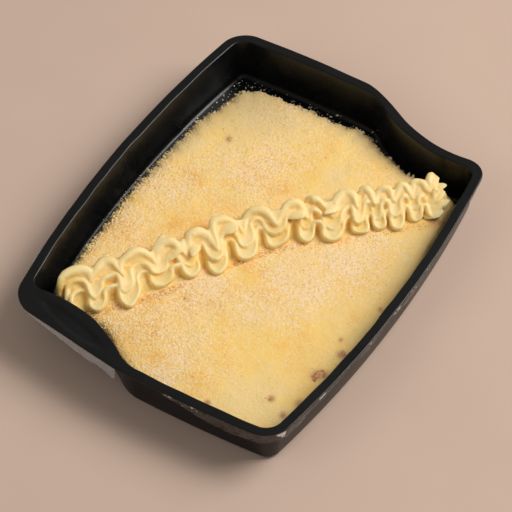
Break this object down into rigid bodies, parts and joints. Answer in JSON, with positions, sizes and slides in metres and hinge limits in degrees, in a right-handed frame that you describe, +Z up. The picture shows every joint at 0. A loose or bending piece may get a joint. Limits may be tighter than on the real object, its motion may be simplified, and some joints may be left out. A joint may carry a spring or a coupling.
{
  "type": "shepherds pie in a tray",
  "caption": "Ready-meal shepherd's pie: crumbed mash with a piped mash ruffle along the diagonal, in a shallow black plastic tray with bowed sides, corner recesses and a finger tab.",
  "frame": {"origin": "centre of the base on the surface it stands on", "axes": "+X along the tray's long axis, +Y across it towards the side whose -X end carries the finger tab, +Z up out of the tray"},
  "size_m": [0.2269, 0.1776, 0.028],
  "materials": {
    "tray_plastic": "satin black thermoformed sheet",
    "crumbed_mash": "moist mashed potato under fine crumbs; stands for food",
    "piped_mash": "smooth moist mashed potato; stands for food",
    "lidding_film": "clear, creased"
  },
  "bodies": {
    "root": {"tray": "tray_plastic", "pie": "crumbed_mash", "piped_mash": "piped_mash", "film_tab": "lidding_film", "film_skirt": "lidding_film", "film_sliver": "lidding_film"}
  },
  "joints": []
}
